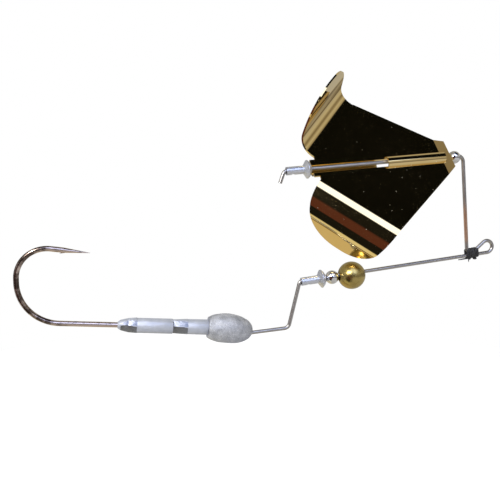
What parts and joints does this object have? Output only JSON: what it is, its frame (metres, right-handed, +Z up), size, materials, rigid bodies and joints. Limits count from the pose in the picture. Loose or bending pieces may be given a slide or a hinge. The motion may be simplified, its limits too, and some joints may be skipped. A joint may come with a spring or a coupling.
{
  "type": "buzzbait lure",
  "caption": "Wire-frame surface lure: leaded single hook, two-winged stamped blade turning on the upper shaft, and a loose ball clacker on the lower arm.",
  "frame": {"origin": "centre of the line-tie eye", "axes": "+X the way the line pulls, towards the line tie; +Z up, from the hook arm to the blade shaft; +Y across the bent wire's plane"},
  "size_m": [0.1366, 0.029, 0.0752],
  "materials": {
    "spring_wire": "bright drawn stainless wire",
    "hook_bronze": "bronzed black nickel, polished",
    "cast_lead": "bare cast lead, grainy, dull",
    "keeper_lead": "bare lead, smoother and brighter",
    "gold_plate": "mirror gold finish on light aluminium sheet",
    "turned_brass": "machined brass, slightly dulled",
    "nickel_bead": "polished nickel",
    "rivet_aluminium": "soft aluminium, tumbled and dented",
    "black_thread": "waxed black thread"
  },
  "bodies": {
    "frame": {"wire_frame": "spring_wire", "hook": "hook_bronze", "lead_head": "cast_lead", "keeper_collar": "keeper_lead", "thread_lashing": "black_thread"},
    "blade": {"buzz_blade": "gold_plate"},
    "rear_rivet": {"rear_rivet": "rivet_aluminium"},
    "front_bead": {"front_bead": "nickel_bead"},
    "clacker_rivet": {"clacker_rivet": "rivet_aluminium"},
    "clacker_bead": {"clacker_bead": "nickel_bead"},
    "clacker_ball": {"clacker_ball": "turned_brass"}
  },
  "joints": [
    {"name": "blade_spin", "type": "hinge", "parent": "frame", "child": "blade", "pos_m": [-0.0555, 0, 0.0229], "axis": [0.996, 0, 0.0896], "continuous": true},
    {"name": "rear_rivet_spin", "type": "hinge", "parent": "frame", "child": "rear_rivet", "pos_m": [-0.06287, 0, 0.02214], "axis": [0.996, 0, 0.0896], "continuous": true},
    {"name": "front_bead_spin", "type": "hinge", "parent": "frame", "child": "front_bead", "pos_m": [-0.01208, 0, 0.02641], "axis": [0.996, 0, 0.0896], "continuous": true},
    {"name": "clacker_rivet_spin", "type": "hinge", "parent": "frame", "child": "clacker_rivet", "pos_m": [-0.05829, 0, -0.00865], "axis": [0.9936, 0, 0.1132], "continuous": true},
    {"name": "clacker_bead_spin", "type": "hinge", "parent": "frame", "child": "clacker_bead", "pos_m": [-0.04914, 0, -0.00766], "axis": [0.9936, 0, 0.1132], "continuous": true},
    {"name": "clacker_ball_slide", "type": "slide", "parent": "frame", "child": "clacker_ball", "axis": [0.9936, 0, 0.1132], "range_m": [0, 0.028]}
  ]
}
